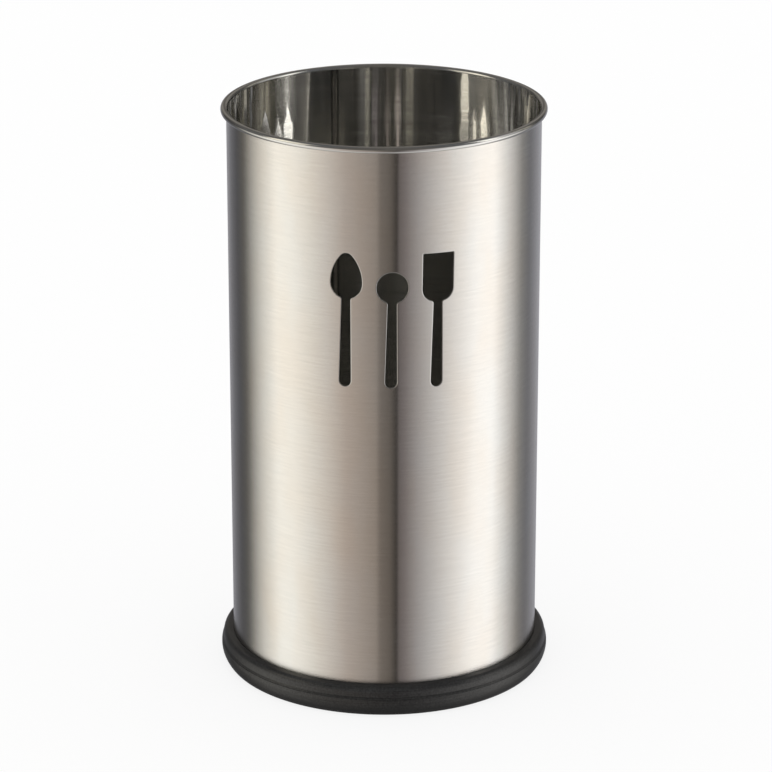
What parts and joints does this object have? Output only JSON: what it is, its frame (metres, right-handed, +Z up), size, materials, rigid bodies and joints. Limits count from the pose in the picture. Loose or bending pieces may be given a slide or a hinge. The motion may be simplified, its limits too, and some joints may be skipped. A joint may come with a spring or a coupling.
{
  "type": "utensil crock",
  "caption": "Cylindrical brushed steel utensil crock with a curled rim, cut-out utensil figures and a black moulded base ring.",
  "frame": {"origin": "centre of the base ring's flat underside", "axes": "+Z up along the tube's axis, -Y towards the cut-out figures"},
  "size_m": [0.109, 0.109, 0.1898],
  "materials": {
    "shell_steel": "brushed round the outside, bright rolled inside",
    "floor_steel": "bright rolled",
    "ring_plastic": "fine matte moulded"
  },
  "bodies": {
    "root": {"shell": "shell_steel", "bottom_disc": "floor_steel", "base_ring": "ring_plastic"}
  },
  "joints": []
}
